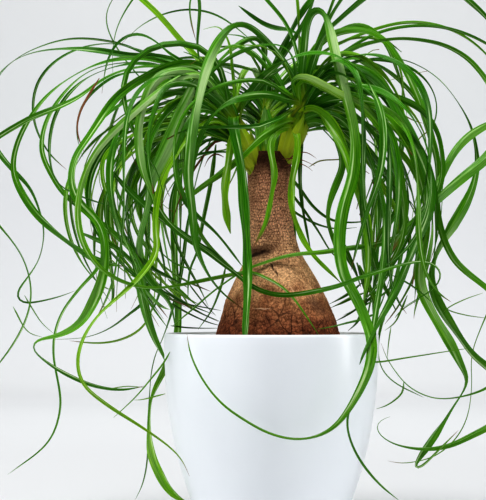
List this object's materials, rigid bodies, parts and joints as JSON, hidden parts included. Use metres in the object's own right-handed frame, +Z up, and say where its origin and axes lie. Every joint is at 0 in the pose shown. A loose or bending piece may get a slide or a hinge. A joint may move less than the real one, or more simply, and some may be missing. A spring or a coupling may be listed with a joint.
{
  "type": "potted ponytail palm",
  "caption": "Houseplant with a swollen corky stem and drooping heads of long strap leaves, in soil in a glossy white tapered pot.",
  "frame": {"origin": "centre of the pot's flat foot, on the surface that the pot stands on", "axes": "+Z up out of the pot, +X to the right and -Y towards the viewer as the plant was pictured"},
  "size_m": [0.4504, 0.2751, 0.4556],
  "materials": {
    "glaze": "smooth glossy white",
    "soil": "matt dark crumbly potting soil",
    "cork": "matt cracked brown bark",
    "leaf": "smooth waxy green leaf with fine lengthwise ribs"
  },
  "bodies": {
    "root": {"pot": "glaze", "soil": "soil", "stem": "cork", "leaf_head_left": "leaf", "leaf_head_right": "leaf", "leaf_head_back": "leaf"}
  },
  "joints": []
}
